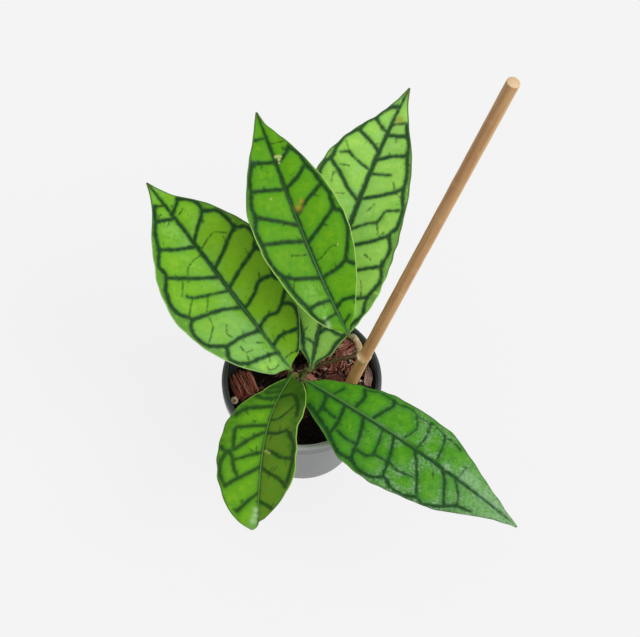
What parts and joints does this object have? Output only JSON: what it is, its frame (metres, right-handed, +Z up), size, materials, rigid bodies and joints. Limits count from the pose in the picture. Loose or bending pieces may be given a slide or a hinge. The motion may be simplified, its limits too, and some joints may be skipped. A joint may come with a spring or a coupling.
{
  "type": "potted hoya plant",
  "caption": "Young hoya with broad pointed dark-veined leaves on a short vine, in a small round tapered nursery pot of husk mix with a leaning cane stake.",
  "frame": {"origin": "centre of the pot's foot, on the flat face that it stands on", "axes": "+Z up; +X to the right of the plant's front, the side the stake leans to; +Y away from the front, to the back"},
  "size_m": [0.1999, 0.2347, 0.3381],
  "materials": {
    "black_plastic": "thin black moulded plastic, satin, with a soft grey sheen",
    "husk_mix": "rough reddish-brown coco husk chips and fibres, with bark and a few pale grains",
    "bamboo": "smooth tan cane with fine lengthwise grain and a pale cut end",
    "vine": "thin woody vine, olive to tan brown, dull",
    "leaf_green": "thick satin leaf, bright green cells in a net of dark blue-green veins, paler edge and underside"
  },
  "bodies": {
    "root": {"pot": "black_plastic", "potting_mix": "husk_mix", "bamboo_stake": "bamboo", "stem": "vine", "leaf_left": "leaf_green", "leaf_top": "leaf_green", "leaf_back": "leaf_green", "leaf_lower_left": "leaf_green", "leaf_lower_right": "leaf_green"}
  },
  "joints": []
}
